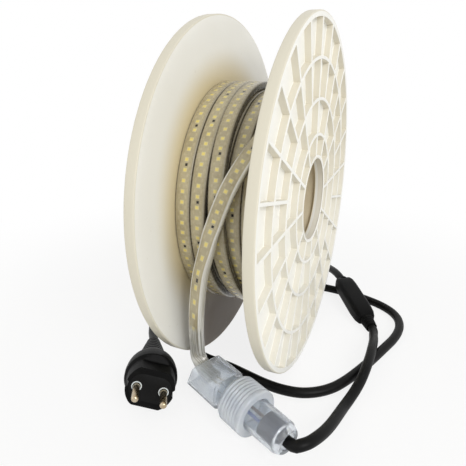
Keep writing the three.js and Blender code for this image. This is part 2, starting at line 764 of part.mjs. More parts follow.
connector.add(
  named("strip_socket", socket(), clearPlastic()),
  named("contact_carrier", contactCarrier(), finish("grey contact carrier", 0x7f868c, 0.6)),
  named("contact_pin_left", contactPin(-1), finish("tinned brass", 0xc9c4b4, 0.35, 1)),
  named("contact_pin_right", contactPin(1), finish("tinned brass", 0xc9c4b4, 0.35, 1)),
  named("core_wire_blue", coreWire(-1), finish("blue wire", 0x24519a, 0.5)),
  named("core_wire_brown", coreWire(1), finish("brown wire", 0x5c3a22, 0.5)),
  named("coupling_collar", collar(), clearPlastic()),
  named("cable_housing", cableHousing(), clearPlastic()),
  named("cable_seal", cableSeal(), finish("navy rubber seal", 0x20283f, 0.6)),
);

const frontRelief = named("box_relief_front", boxRelief(frontReliefLength), blackPlastic());
frontRelief.position.x = boxLength;
const rearRelief = named("box_relief_rear", boxRelief(rearReliefLength), blackPlastic());
rearRelief.rotation.z = Math.PI;
box.add(
  named("box_cover", boxHalf(true), blackPlastic()),
  named("box_base", boxHalf(false), blackPlastic()),
  frontRelief,
  rearRelief,
  named("rectifier_board", rectifierBoard(), finish("green circuit board", 0x2d5b3a, 0.5)),
  named("bridge_rectifier", bridgeRectifier(), finish("black component", 0x1c1c1e, 0.45)),
);

plug.add(
  named("plug_body", plugBody(), blackPlastic()),
  named("plug_pin_bridge", pinBridge(), finish("black hard plastic", 0x121312, 0.4)),
  named("plug_pin_left", plugPin(-1), finish("nickel-plated brass", 0xb9ac97, 0.3, 1)),
  named("plug_pin_right", plugPin(1), finish("nickel-plated brass", 0xb9ac97, 0.3, 1)),
  named("pin_ring_left", pinRing(-1), finish("light grey plastic", 0xc9d0d0, 0.4)),
  named("pin_ring_right", pinRing(1), finish("light grey plastic", 0xc9d0d0, 0.4)),
);

const stringLight = new THREE.Group();
stringLight.add(
  reel,
  named("strip_tail_jacket", stripTail(), stripPlastic()),
  named("strip_tail_board", tailBoard(), finish("white lamp board", 0xe6dfb8, 0.5)),
  connector,
  named("output_cable", roundCable(outputCablePath(), outputCableSteps), blackPlastic()),
  box,
  named("mains_cable", roundCable(mainsCablePath(), mainsCableSteps), blackPlastic()),
  plug,
);

export default stringLight;
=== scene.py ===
import math

import bmesh
import bpy
import numpy as np
from mathutils import Euler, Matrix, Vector


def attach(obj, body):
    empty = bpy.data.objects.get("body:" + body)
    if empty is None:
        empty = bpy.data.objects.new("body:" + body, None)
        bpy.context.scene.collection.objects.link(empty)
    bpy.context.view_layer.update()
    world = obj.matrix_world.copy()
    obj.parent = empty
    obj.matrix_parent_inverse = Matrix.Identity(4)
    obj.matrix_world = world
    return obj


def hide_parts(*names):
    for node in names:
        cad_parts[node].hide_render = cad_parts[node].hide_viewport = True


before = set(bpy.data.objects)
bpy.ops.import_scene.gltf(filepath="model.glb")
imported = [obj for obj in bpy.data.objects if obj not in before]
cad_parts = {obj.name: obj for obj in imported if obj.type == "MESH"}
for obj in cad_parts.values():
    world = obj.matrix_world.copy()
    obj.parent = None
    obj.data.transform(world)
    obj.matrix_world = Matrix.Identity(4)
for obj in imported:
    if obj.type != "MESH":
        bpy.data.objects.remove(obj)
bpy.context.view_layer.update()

# All lengths below are in millimetres; a mesh is scaled to metres when it is made.
MM = 0.001

# Reel
AXIS_HEIGHT = 134.815
FLANGE_RADIUS = 134.8
FLANGE_THICKNESS = 7.4
FLANGE_INSIDE = 34.0
INNER_FACE_FROM, INNER_FACE_TO = 128, 40
RIM_ROUNDING = 0.8
BORE_RADIUS = 31.7
BORE_WALL = 2.6
BORE_ROUNDING = 0.5
RIM_WALL = 4.0
RIB_WIDTH = 2.2
POCKET_DEPTH = 5.0
POCKET_FLOOR = FLANGE_INSIDE + FLANGE_THICKNESS - POCKET_DEPTH
FLANGE_FACE = FLANGE_INSIDE + FLANGE_THICKNESS
RING_RIBS = (50.0, 76.0, 104.5)
RIB_PHASE = math.radians(1.5)
SECTORS = 24
# The rows of pockets nearest the bore, which have only every second radial rib
WIDE_POCKET_ROWS = 2
# Pocket walls, as distances and the share of the depth there: from a ring, and from a radial rib's middle
RING_WALL = ((-0.1, 0.03, 0.22, 0.42), (0.0, 0.03, 0.96, 1.0))
RADIAL_WALL = ((1.02, 1.13, 1.32, 1.5), (0.0, 0.03, 0.96, 1.0))
POCKET_FLAT_FROM = 1.5
# Columns of points on one side of a radial rib: distances from its middle, then shares of half a sector
RIB_COLUMNS = np.array([0, 0.98, 1.13, 1.32, 1.52])
POCKET_COLUMNS = np.array([0.55, 0.85])
DRUM_RADIUS = 51.2
DRUM_BORE = 34.5
DRUM_WALL = 3.2
DRUM_EDGE = 0.4
SEAT = 0.3

# Strip
STRIP_WIDTH = 11.0
STRIP_THICKNESS = 5.8
STRIP_CORNER = 1.3
LOW_RADIUS = 81.5
LOW_TURNS = 6
FIRST_TURN, LAST_TURN = -28.3, 28.1
TURN_PITCH = 68 / 6
FILL_HALF_WIDTH = 33.6
FILL_RADIUS = 76.5
LAMP_PITCH = 6.944
LAMP_UNIT = 12
LAMPS_BEFORE_MARK = 8
PATTERN_AT_TAIL = LAMPS_BEFORE_MARK * LAMP_PITCH + 1.5
PATTERN_SHIFT = 3.1
TAIL_STRETCH = 1.33
TAIL_STRETCH_GROWTH = 0.0065
TAIL_TWIST = math.radians(-18)

# Round cable
CABLE_DIAMETER = 7.8

# Connector, in its own frame: X runs from the strip's mouth to the cable, Z is up
SOCKET_BLOCK = (26.0, 21.0, 4.0)
SOCKET_CAVITY = (22.0, 17.0, 3.0)
SOCKET_SLANT = 8.0
COLLAR_RADIUS = 17.0
COLLAR_RIDGES = 6
RIDGES_FROM, RIDGES_TO = 43.0, 59.0
RIDGE_DEPTH = 1.0

# Rectifier box, in its own frame: X runs from the mains lead to the output lead
BOX_LENGTH = 62
BOX_SECTION = (20, 14, 4)
BOX_SEAM = 0.15
BOX_STATIONS = ((0, 0), (0, 0.78), (0.4, 0.84), (4, 0.95), (12, 1), (46, 1), (56, 0.93), (61.5, 0.78),
                (62, 0.72), (62, 0))
RELIEF_RADIUS = 6.3
RELIEF_TAPER = 1.2
RELIEF_BORE = 4.1

# Plug, in its own frame: X runs from its front to the cable, and the pins reach back over 0
PLUG_FRONT_END = 13.4
PLUG_SHOULDER_LENGTH = 2.2
PLUG_HALF_HEIGHT = 13.8
PLUG_SHOULDER_RISE = 5.4
PLUG_CORNER = 1.2
NOTCH_LENGTH = 11.2
NOTCH_DEPTH = 1.6
NOTCH_HALF_WIDTH = 2.6
NOTCH_SLOPE = 0.35
NOTCH_SIDE = 12
SLEEVE_FROM, SLEEVE_TO = 43, 82
PIN_OFFSET = 9.5
PIN_REACH = 19
PIN_RADIUS = 2.4
PIN_NOSE = 1.8

# Places of the connector, the rectifier box and the plug: origin, then turns about X, Y and Z
CONNECTOR = ((-18.0, -87.2, 20.76), (0.0, math.atan(0.0605), math.atan2(-39.9, 80.8)))
BOX = ((53.89, 106.82, 16.24), (0.0, math.radians(8.6), math.atan2(-52.2, 32.1)))
PLUG = ((-35.8, -127.6, 24.57),
        (math.radians(20), math.radians(11.5), math.atan2(-0.856, 0.517) + math.pi))

# Routes, as in the part's source. Turns of strip: angle from the front in degrees, x and height above
# LOW_RADIUS. First the last turn, which leaves the winding as the hanging end.
LEAD_OFF = (
    (250, 5.8, 2.7), (215, 9.5, 2.7), (180, 14, 2.7), (145, 19.5, 2.7), (110, 24.6, 2.7), (80, 27, 2.7),
    (58, 25, 2.7), (42, 20.5, 3.2), (29, 13.6, 6.5), (17, 6.4, 9.2), (8, 1, 9.2), (0, -3.4, 9.2),
)
# The upper turns that run into it, from where the strip climbs out of the layer below
UPPER_TURNS = (
    (1350, -28.3, -3.2), (1325, -28.3, -0.6), (1300, -28.3, 3.0), (1270, -28.3, 3.1), (1200, -28.3, 3.1),
    (1110, -28.3, 3.1), (1020, -28.3, 3.1), (1000, -28.1, 3.1), (985, -26.2, 3.1), (955, -19.2, 3.1),
    (940, -17.2, 3.1), (910, -17, 3.1), (830, -17, 3.1), (750, -17, 3.1), (660, -17, 3.1), (640, -16.8, 3.1),
    (625, -14.8, 3.1), (595, -7.8, 3.1), (580, -6.1, 3.1), (540, -5.9, 3.1), (480, -6, 3.1),
    (430, -6.4, 3.1), (410, -6.4, 3.1), (390, -5.7, 3.1), (370, -4.3, 3.1), (350, -2.4, 3.1),
    (330, -0.6, 3.1), (290, 3, 3.0), (265, 4.8, 2.8),
)
# The hanging end and the two leads: x, y and z
TAIL = (
    (-7.8, -92.6, 118), (-11.5, -95.4, 100.5), (-14.4, -95.2, 81), (-16.8, -93, 64), (-18.8, -89.6, 48.5),
    (-19.9, -86.6, 37.5), (-20.2, -85.4, 29.5),
)
OUTPUT_CABLE = (
    (95.3, 32.6, 4.9), (96.6, 20.8, 7.8), (97.2, 8.6, 10.8), (97.4, -2.8, 12.4), (97.3, -13.6, 12.6),
    (96.8, -23.2, 12.2), (95.9, -32, 10.7), (94.4, -41, 8.2), (92.1, -50.5, 5.8), (89.4, -60.5, 4.4),
    (86.8, -71.5, 4.6), (85, -84.4, 7.4), (83.1, -97.5, 10.6), (80.7, -108.7, 13.4), (77.7, -117.8, 15.5),
    (74.4, -124.4, 16.6), (70.3, -128.2, 16.5), (68.1, -129, 15.7), (65.5, -128.4, 15.3),
)
MAINS_CABLE = (
    (-90.6, -39, 4.3), (-97.4, -27, 4.1), (-103, -15.3, 4.1), (-106.6, -1.5, 4.1), (-106.2, 12.2, 4.1),
    (-99.6, 23.6, 4.1), (-88.8, 30.9, 4.1), (-75.8, 32, 4.1), (-63.7, 27.4, 4.1), (-55, 17.8, 4.1),
    (-51.9, 5.5, 4.1), (-52.3, -7.5, 4.1), (-52.4, -20.5, 4.1), (-51.2, -32.6, 4.1), (-46.9, -43.2, 4.1),
    (-39.2, -50.9, 4.1), (-29, -55, 4.1), (-17, -56.8, 4.1), (-4, -59.1, 4.1), (11, -63, 4.1),
    (26, -66.7, 4.1), (41, -68.3, 4.1), (55, -66.4, 4.1), (66.5, -60.4, 4.1), (75.9, -51.3, 4.1),
    (82.9, -40.1, 4.1), (89.2, -26.9, 4.1), (95.7, -11.3, 4.1), (102.3, 6, 4.1), (107.4, 20, 4.1),
    (111.8, 32.6, 4.1), (114.9, 46.3, 4.1), (115.6, 60, 4.1), (112.8, 72.8, 4.1), (106.2, 83.6, 4.1),
    (97.3, 91.4, 4.1), (87, 97.2, 4.1), (70, 103.6, 4.1), (52, 108, 4.1), (36, 109.7, 4.1),
    (21, 109.4, 4.1), (7.5, 109.3, 4.1), (-4.4, 110.2, 4.1), (-16, 116.6, 4.1), (-23.6, 127.6, 4.1),
    (-25.3, 141, 4.1), (-20.3, 153.5, 4.1), (-9.9, 162.2, 4.3), (3.4, 165, 5.2), (16.2, 161.2, 7.2),
    (26.2, 151.7, 10.4), (34.6, 138.2, 14.4), (42.2, 125.8, 17),
)
# The ends of those routes inside the connector, box and plug: distance along its own X, and rise over it
TAIL_AT_CONNECTOR = ((6, 1.2), (12, 0), (18, 0))
OUTPUT_AT_BOX = ((62, 0), (74, 0), (78, 0))
OUTPUT_AT_CONNECTOR = ((87, 0), (84.5, 0), (78.8, 0))
MAINS_AT_PLUG = ((72.3, 0), (82, 0), (91, 0))
MAINS_AT_BOX = ((-8, 0), (-4, 0), (0, 0))
# How far the tail goes on straight, and the spacing of the sections along each path
TAIL_LEAD = 6
WINDING_STEP, LEAD_OFF_STEP, TAIL_STEP, OUTPUT_STEP, MAINS_STEP = 4.0, 0.5, 1.5, 2.5, 3.0

# Camera, light and floor, in metres, degrees and watts
CAMERA_PLACE = (0.11843, -0.34606, 0.23586)
CAMERA_DIP = 19.698
CAMERA_TURN = 22.756
FOCAL_LENGTH, SENSOR_WIDTH = 35.677, 36
LENS_SHIFT = (-0.0025, -0.0116)
LAMP_AIM = Vector((0, 0, 0.13))
LAMPS = (("key_lamp", (1.15, -0.95, 0.95), 0.8, 14.5), ("fill_lamp", (-1.1, -1.1, 0.7), 1.0, 2.5))
FLOOR_REACH = 4
SKY_STRENGTH = 0.62
# Share of plain white in what the camera sees of the floor: near the object, and the distances over which
# it grows to all of it
FLOOR_WHITE = 0.84
FLOOR_FADE = (0.16, 0.5)

# Sockets of a Mix node that is set to colours
MIX_FIRST, MIX_SECOND, MIX_RESULT = 6, 7, 2


def show(made):
    """Links an object into the scene."""
    bpy.context.scene.collection.objects.link(made)


# Camera and lamps
def make_camera():
    lens = bpy.data.cameras.new("camera")
    lens.sensor_width = SENSOR_WIDTH
    lens.lens = FOCAL_LENGTH
    lens.shift_x, lens.shift_y = LENS_SHIFT
    lens.clip_start = 0.01
    camera = bpy.data.objects.new("camera", lens)
    camera.location = CAMERA_PLACE
    camera.rotation_euler = (math.radians(90 - CAMERA_DIP), 0, math.radians(CAMERA_TURN))
    show(camera)
    bpy.context.scene.camera = camera


def make_lamp(name, place, size, power):
    """A square area lamp, turned so that it faces the middle of the reel."""
    lamp = bpy.data.lights.new(name, "AREA")
    lamp.size = size
    lamp.energy = power
    holder = bpy.data.objects.new(name, lamp)
    holder.location = place
    holder.rotation_euler = (LAMP_AIM - holder.location).to_track_quat("-Z", "Y").to_euler()
    show(holder)


# Shader nodes
class Field:
    """A value that varies over a surface, as one node socket. Arithmetic on it adds Math nodes."""

    def __init__(self, tree, socket=None):
        self.tree = tree
        self.socket = socket

    def node(self, kind, sockets=None, out=0, **settings):
        """One output of a new node: its settings are set first, then the values or links of its sockets."""
        made = self.tree.nodes.new("ShaderNode" + kind)
        for name, value in settings.items():
            setattr(made, name, value)
        for key, value in (sockets or {}).items():
            if isinstance(value, Field):
                self.tree.links.new(value.socket, made.inputs[key])
            else:
                made.inputs[key].default_value = value
        return Field(self.tree, made.outputs[out])

    def math(self, operation, *values):
        return self.node("Math", dict(enumerate(values)), operation=operation)

    def __add__(self, other):
        return self.math("ADD", self, other)

    def __sub__(self, other):
        return self.math("SUBTRACT", self, other)

    def __rsub__(self, other):
        return self.math("SUBTRACT", other, self)

    def __mul__(self, other):
        return self.math("MULTIPLY", self, other)

    def __truediv__(self, other):
        return self.math("DIVIDE", self, other)

    def __abs__(self):
        return self.math("ABSOLUTE", self)

    __radd__ = __add__
    __rmul__ = __mul__

    def rise(self, low, high):
        """0 below low and 1 above high, with a smooth step between them."""
        return self.node("MapRange", {0: self, 1: low, 2: high}, interpolation_type="SMOOTHSTEP")

    def fall(self, low, high):
        """1 below low and 0 above high, with a smooth step between them."""
        return 1 - self.rise(low, high)

    def from_whole(self):
        """The distance from the nearest whole number."""
        return abs(self - self.math("ROUND", self))

    def mix(self, first, second):
        """The first colour where this value is 0, and the second where it is 1."""
        return self.node("Mix", {0: self, MIX_FIRST: first, MIX_SECOND: second}, out=MIX_RESULT,
                         data_type="RGBA")

    def noise(self, place, scale, detail, rough=0.5):
        return self.node("TexNoise", {"Vector": place, "Scale": scale, "Detail": detail, "Roughness": rough})

    def bump(self, height, distance, strength):
        return self.node("Bump", {"Strength": strength, "Distance": distance, "Height": height})

    def place(self):
        """The point's place in the shared frame, in metres."""
        return self.node("TexCoord", out="Object")

    def lay(self):
        """The strip's or cable's own coordinates: across, through and along, in metres."""
        return self.node("Attribute", out="Vector", attribute_name="lay")

    def join(self, first, second, third):
        return self.node("CombineXYZ", {0: first, 1: second, 2: third})

    def parts(self, vector):
        outputs = self.node("SeparateXYZ", {0: vector}).socket.node.outputs
        return [Field(self.tree, outputs[i]) for i in range(3)]

    def millimetres(self, vector):
        return [axis * 1000.0 for axis in self.parts(vector)]

    def from_axis(self, y, z):
        """The height over the reel's axis and the distance from it, in millimetres."""
        up = z - AXIS_HEIGHT
        return up, self.math("SQRT", y * y + up * up)


def rgb(red, green, blue):
    return (red, green, blue, 1.0)


def material(name, paint, **constants):
    """A Principled material. paint returns the fields for its varying sockets; constants are set on it."""
    made = bpy.data.materials.new(name)
    made.use_nodes = True
    tree = made.node_tree
    shader = tree.nodes["Principled BSDF"]
    for socket, value in constants.items():
        shader.inputs[socket.replace("_", " ")].default_value = value
    for socket, field in paint(Field(tree)).items():
        tree.links.new(field.socket, shader.inputs[socket])
    return made


def reel_paint(f):
    """Off-white moulded plastic: flow clouds, fine grain and a few scuffs. Painted shade makes the rims beige
    and the pocket walls darker beige, more so higher up; on the faces between the flanges, painted reflection
    and shade make them tan near the strip, and a painted shadow makes them brown below it."""
    place = f.place()
    x, y, z = f.millimetres(place)
    up, radius = f.from_axis(y, z)
    inside_rim = FLANGE_RADIUS - RIM_WALL
    # painted shade: the rim band, which catches less light than the face
    rim = radius.rise(FLANGE_RADIUS - 1.4, FLANGE_RADIUS - 0.5)
    between = abs(x).fall(FLANGE_INSIDE + 0.3, FLANGE_INSIDE + 0.9)
    # painted reflection of the tan strip and painted shade, on the faces between the flanges near the winding
    strip_reflection_and_shade = radius.fall(86.0, 114.0) * between
    # painted shadow: dark brown low on the faces between the flanges, behind the hanging strip
    below = between * (up * -1.0).rise(45.0, 100.0) * y.rise(-92.0, -35.0)
    # painted shade on the pocket walls of the ribbed face
    wall = abs(x).rise(POCKET_FLOOR + 0.15, POCKET_FLOOR + 0.5)
    wall = wall * abs(x).fall(FLANGE_FACE - 0.5, FLANGE_FACE - 0.15)
    wall = wall * radius.fall(inside_rim + 0.5, inside_rim + 0.8)
    clouds = f.noise(place, 14.0, 4.0).rise(0.3, 0.72)
    flow = f.noise(place, 55.0, 5.0, 0.6)
    grain = f.noise(place, 900.0, 3.0, 0.6)
    scuffs = f.noise(place, 160.0, 8.0, 0.72).rise(0.62, 0.72)
    colour = clouds.mix(rgb(0.855, 0.845, 0.79), rgb(0.885, 0.878, 0.83))
    colour = (strip_reflection_and_shade * 0.9).mix(colour, rgb(0.68, 0.57, 0.33))
    # painted shadow in dark brown below the winding
    colour = (below * 0.93).mix(colour, rgb(0.15, 0.095, 0.045))
    # painted shade: beige on the pocket walls, stronger higher up
    colour = (wall * (0.38 + up.rise(-60.0, 60.0) * 0.3)).mix(colour, rgb(0.66, 0.60, 0.46))
    # painted shade: beige on the rim band
    colour = (rim * 0.85).mix(colour, rgb(0.66, 0.615, 0.485))
    colour = (scuffs * 0.35).mix(colour, rgb(0.66, 0.635, 0.55))
    rough = 0.36 + flow * 0.16 + scuffs * 0.14
    return {"Base Color": colour, "Roughness": rough, "Normal": f.bump(grain * 0.4 + flow, 0.00022, 0.5)}


def drum_paint(f):
    """The drum's plastic, painted dark tan as shade inside the bore, with mould lines along it."""
    place = f.place()
    x, y, z = f.parts(place)
    lines = f.noise(f.join(x * 4.0, y * 160.0, z * 160.0), 1.0, 3.0)
    clouds = f.noise(place, 30.0, 4.0).rise(0.3, 0.7)
    # painted shade: the whole drum is coloured dark tan for the shade inside the bore
    colour = clouds.mix(rgb(0.50, 0.42, 0.28), rgb(0.62, 0.54, 0.39))
    return {"Base Color": colour, "Roughness": 0.42 + lines * 0.2, "Normal": f.bump(lines, 0.0002, 0.5)}


def strip_fields(f):
    """Cream lamp board under clear plastic: yellow lamp chips every LAMP_PITCH, faint tracks, a black dot
    where one cutting unit of twelve lamps ends, and clear edges outside the board. The edges carry painted
    shade in the gaps between the turns, and painted light where the strip lies free of them, further from
    the axis. Returns the colour, the height for the bump, the milky clouds and the streaks along the plastic."""
    _, y, z = f.millimetres(f.place())
    _, radius = f.from_axis(y, z)
    # where the strip lies free of the winding, its edges get painted light instead of painted shade
    free = radius.rise(88.2, 92.5)
    across, through, length = f.millimetres(f.lay())
    off_centre = abs(across)
    step = length / LAMP_PITCH
    from_chip = (step - 0.5).from_whole() * LAMP_PITCH
    chip = off_centre.fall(1.35, 1.75) * from_chip.fall(1.25, 1.6)
    phosphor = off_centre.fall(0.85, 1.3) * from_chip.fall(0.75, 1.2)
    unit = step / LAMP_UNIT
    mark = unit - LAMPS_BEFORE_MARK / LAMP_UNIT
    to_end, to_mark = [repeat.from_whole() * (LAMP_UNIT * LAMP_PITCH) for repeat in (unit, mark)]
    dot = f.math("MINIMUM", to_end, to_mark).fall(0.75, 1.05) * abs(across - 0.4).fall(0.75, 1.05)
    halfway = step.from_whole() * LAMP_PITCH
    pads = abs(off_centre - 2.6).fall(0.5, 0.8) * halfway.fall(0.9, 1.2)
    tracks = abs(off_centre - 3.3).fall(0.12, 0.32)
    board = off_centre.fall(3.9, 4.4)
    face = through.rise(1.7, 2.4)
    back = (through * -1.0).rise(1.7, 2.4)
    clouds = f.noise(f.lay(), 60.0, 4.0).rise(0.3, 0.7)
    milk = f.noise(f.lay(), 420.0, 3.0)
    cream = clouds.mix(rgb(0.40, 0.34, 0.21), rgb(0.50, 0.44, 0.29))
    cream = (tracks * 0.35).mix(cream, rgb(0.33, 0.28, 0.17))
    cream = (pads * 0.25).mix(cream, rgb(0.62, 0.55, 0.36))
    cream = (chip * 0.8).mix(cream, rgb(0.66, 0.60, 0.36))
    cream = phosphor.mix(cream, rgb(0.80, 0.66, 0.20))
    cream = dot.mix(cream, rgb(0.02, 0.018, 0.015))
    streaks = f.noise(f.join(across * 1.1, through * 1.1, length * 0.03), 1.0, 4.0)
    # painted shade: the edges go near black low down, in the gaps between the wound turns
    shaded_wound_edge = through.rise(1.5, 3.1).mix(rgb(0.02, 0.014, 0.008), rgb(0.37, 0.32, 0.21))
    # painted light: the edges of the free strip turn pale, lighter towards its face
    lit_free_edge = through.rise(-2.9, 2.4).mix(rgb(0.55, 0.52, 0.43), rgb(0.82, 0.81, 0.75))
    side = free.mix(shaded_wound_edge, lit_free_edge)
    side = (streaks.rise(0.35, 0.65) * 0.4).mix(side, rgb(0.40, 0.37, 0.29))
    plain_back = clouds.mix(rgb(0.62, 0.57, 0.42), rgb(0.70, 0.66, 0.52))
    colour = (face * board).mix(side, cream)
    colour = (back * board).mix(colour, plain_back)
    height = f.noise(f.lay(), 300.0, 4.0, 0.6) * 0.6 + chip * face * 0.5 + (1 - board) * 0.5
    return colour, height, milk, streaks


def wound_strip_paint(f):
    """The strip on the reel."""
    colour, height, milk, _ = strip_fields(f)
    return {"Base Color": colour, "Roughness": 0.2 + milk * 0.16, "Normal": f.bump(height, 0.0003, 0.5)}


def hanging_strip_paint(f):
    """The strip's free end, which is only streaky clear plastic past the last lamp."""
    colour, height, milk, streaks = strip_fields(f)
    _, _, above_floor = f.millimetres(f.place())
    bare = above_floor.fall(54.0, 61.0)
    plain = streaks.rise(0.38, 0.62).mix(rgb(0.30, 0.285, 0.24), rgb(0.72, 0.715, 0.67))
    colour = (bare * 0.9).mix(colour, plain)
    relief = f.bump(height + streaks * bare, 0.0004, 0.5)
    return {"Base Color": colour, "Roughness": 0.16 + milk * 0.14, "Normal": relief}


def clear_paint(f):
    """Bluish grey clear plastic, slightly frosted, with flow marks."""
    place = f.place()
    clouds = f.noise(place, 90.0, 4.0).rise(0.3, 0.7)
    marks = f.noise(place, 260.0, 5.0, 0.6)
    colour = clouds.mix(rgb(0.80, 0.845, 0.90), rgb(0.89, 0.92, 0.95))
    return {"Base Color": colour, "Roughness": 0.08 + marks * 0.16, "Normal": f.bump(marks, 0.0003, 0.4)}


def black_paint(shade, grain_scale, depth, low, high):
    """Black moulding: fine spark-eroded grain, slightly greyer where it is handled."""
    def paint(f):
        place = f.place()
        grain = f.noise(place, grain_scale, 3.0, 0.65)
        wear = f.noise(place, 45.0, 5.0, 0.6).rise(0.45, 0.75)
        dark = rgb(shade, shade, shade * 1.02)
        colour = wear.mix(dark, rgb(shade * 1.8, shade * 1.8, shade * 1.75))
        rough = low + grain * (high - low) + wear * 0.06
        return {"Base Color": colour, "Roughness": rough, "Normal": f.bump(grain, depth, 0.6)}
    return paint


def cable_paint(f):
    """Black soft jacket: fine drawing lines along it, dusty patches and a satin shine."""
    across, through, length = f.parts(f.lay())
    lines = f.noise(f.join(across * 2600.0, through * 2600.0, length * 9.0), 1.0, 3.0)
    dust = f.noise(f.place(), 70.0, 5.0, 0.6).rise(0.5, 0.8)
    colour = dust.mix(rgb(0.004, 0.004, 0.004), rgb(0.011, 0.011, 0.01))
    rough = 0.34 + lines * 0.16 + dust * 0.1
    return {"Base Color": colour, "Roughness": rough, "Normal": f.bump(lines, 0.00003, 0.35)}


def smooth_paint(first, second, scale, low, high):
    """A plain moulded or painted finish with faint clouds of a second colour."""
    def paint(f):
        clouds = f.noise(f.place(), scale, 4.0)
        colour = clouds.rise(0.35, 0.7).mix(rgb(*first), rgb(*second))
        rough = low + clouds * (high - low)
        return {"Base Color": colour, "Roughness": rough, "Normal": f.bump(clouds, 0.0001, 0.4)}
    return paint


def metal_paint(first, second, tarnish):
    """Plated metal: turned or drawn marks, with tarnish in patches."""
    def paint(f):
        marks = f.noise(f.place(), 1400.0, 3.0)
        patches = f.noise(f.place(), 260.0, 4.0).rise(0.45, 0.7)
        colour = patches.mix(rgb(*first), rgb(*second))
        rough = 0.18 + marks * 0.14 + patches * tarnish
        return {"Base Color": colour, "Roughness": rough, "Normal": f.bump(marks, 0.00004, 0.4)}
    return paint


def satin(name, first, second):
    return material(name, smooth_paint(first, second, 300.0, 0.35, 0.5))


WHITE_PLASTIC = material("white_plastic", reel_paint, Specular_IOR_Level=0.45)
DRUM_PLASTIC = material("drum_plastic", drum_paint, Specular_IOR_Level=0.4)
WOUND_STRIP = material("wound_strip", wound_strip_paint, Coat_Roughness=0.15, Coat_Weight=0.35, IOR=1.45)
HANGING_STRIP = material("hanging_strip", hanging_strip_paint, Coat_Roughness=0.08, Coat_Weight=0.7, IOR=1.5)
SOCKET_CLEAR = material("socket_clear", clear_paint, Transmission_Weight=0.8, IOR=1.36)
COLLAR_CLEAR = material("collar_clear", clear_paint, Transmission_Weight=0.58, IOR=1.4)
HOUSING_CLEAR = material("housing_clear", clear_paint, Transmission_Weight=0.88, IOR=1.34)
BLACK = material("black_plastic", black_paint(0.0035, 1300.0, 0.0001, 0.36, 0.52), Specular_IOR_Level=0.07)
BLACK_RUBBER = material("black_rubber", black_paint(0.004, 900.0, 0.00012, 0.46, 0.62),
                        Specular_IOR_Level=0.07)
CABLE = material("cable_jacket", cable_paint, Specular_IOR_Level=0.12)
CARRIER_GREY = material("carrier_grey",
                        smooth_paint((0.50, 0.56, 0.62), (0.60, 0.66, 0.71), 200.0, 0.4, 0.6))
RING_GREY = satin("ring_grey", (0.55, 0.60, 0.61), (0.68, 0.72, 0.72))
SEAL_NAVY = material("seal_navy", smooth_paint((0.004, 0.007, 0.022), (0.012, 0.017, 0.045), 240.0, 0.4, 0.6),
                     Specular_IOR_Level=0.15)
BLUE = satin("blue_insulation", (0.02, 0.07, 0.30), (0.03, 0.10, 0.38))
BROWN = satin("brown_insulation", (0.09, 0.035, 0.015), (0.13, 0.055, 0.025))
BOARD_GREEN = material("board_green", smooth_paint((0.01, 0.07, 0.03), (0.02, 0.11, 0.05), 200.0, 0.3, 0.5))
EPOXY = material("epoxy_black", black_paint(0.005, 700.0, 0.0001, 0.4, 0.6), Specular_IOR_Level=0.1)
TINNED = material("tinned_metal", metal_paint((0.62, 0.58, 0.47), (0.52, 0.47, 0.36), 0.12), Metallic=1.0)
PIN_METAL = material("pin_metal", metal_paint((0.44, 0.35, 0.23), (0.56, 0.49, 0.37), 0.1), Metallic=1.0)


# Mesh surfaces
def grid_faces(rows, columns, closed_rows, closed_columns):
    """Four-cornered faces between neighbouring points of a grid whose points are numbered row after row."""
    row = np.arange(rows if closed_rows else rows - 1)[:, None]
    column = np.arange(columns if closed_columns else columns - 1)[None, :]
    next_row, next_column = (row + 1) % rows, (column + 1) % columns
    corners = [row * columns + column, row * columns + next_column,
               next_row * columns + next_column, next_row * columns + column]
    shape = np.broadcast_shapes(row.shape, column.shape)
    return np.stack([np.broadcast_to(corner, shape) for corner in corners], axis=-1).reshape(-1, 4)


def piece(name, patches, finish, nodes, sharp=38):
    """One object from surface patches (points, closed rows, closed columns, and the lay if it has one):
    doubles merged, faces turned outwards, smooth but for edges over the sharp angle."""
    places, faces, lays, count = [], [], [], 0
    for points, closed_rows, closed_columns, *lay in patches:
        rows, columns = points.shape[:2]
        places.append(points.reshape(-1, 3) * MM)
        faces.append(grid_faces(rows, columns, closed_rows, closed_columns) + count)
        lays.append(lay[0].reshape(-1, 3) * MM if lay else np.zeros((rows * columns, 3)))
        count += rows * columns
    mesh = bpy.data.meshes.new(name)
    mesh.from_pydata(np.vstack(places).tolist(), [], np.vstack(faces).tolist())
    attribute = mesh.attributes.new("lay", "FLOAT_VECTOR", "POINT")
    attribute.data.foreach_set("vector", np.vstack(lays).astype(np.float32).ravel())
    work = bmesh.new()
    work.from_mesh(mesh)
    bmesh.ops.remove_doubles(work, verts=work.verts, dist=1e-6)
    bmesh.ops.recalc_face_normals(work, faces=work.faces)
    work.to_mesh(mesh)
    work.free()
    mesh.shade_smooth()
    mesh.set_sharp_from_angle(angle=math.radians(sharp))
    mesh.materials.append(finish)
    made = bpy.data.objects.new(name, mesh)
    show(made)
    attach(made, "root")
    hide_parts(*nodes)
    return made


def distances(points):
    """The length of a path from its start to each of its points."""
    return np.concatenate([[0], np.cumsum(np.linalg.norm(np.diff(points, axis=0), axis=1))])


def path_length(points):
    return float(np.linalg.norm(np.diff(points, axis=0), axis=1).sum())


def unit_rows(vectors):
    return vectors / np.linalg.norm(vectors, axis=1, keepdims=True)


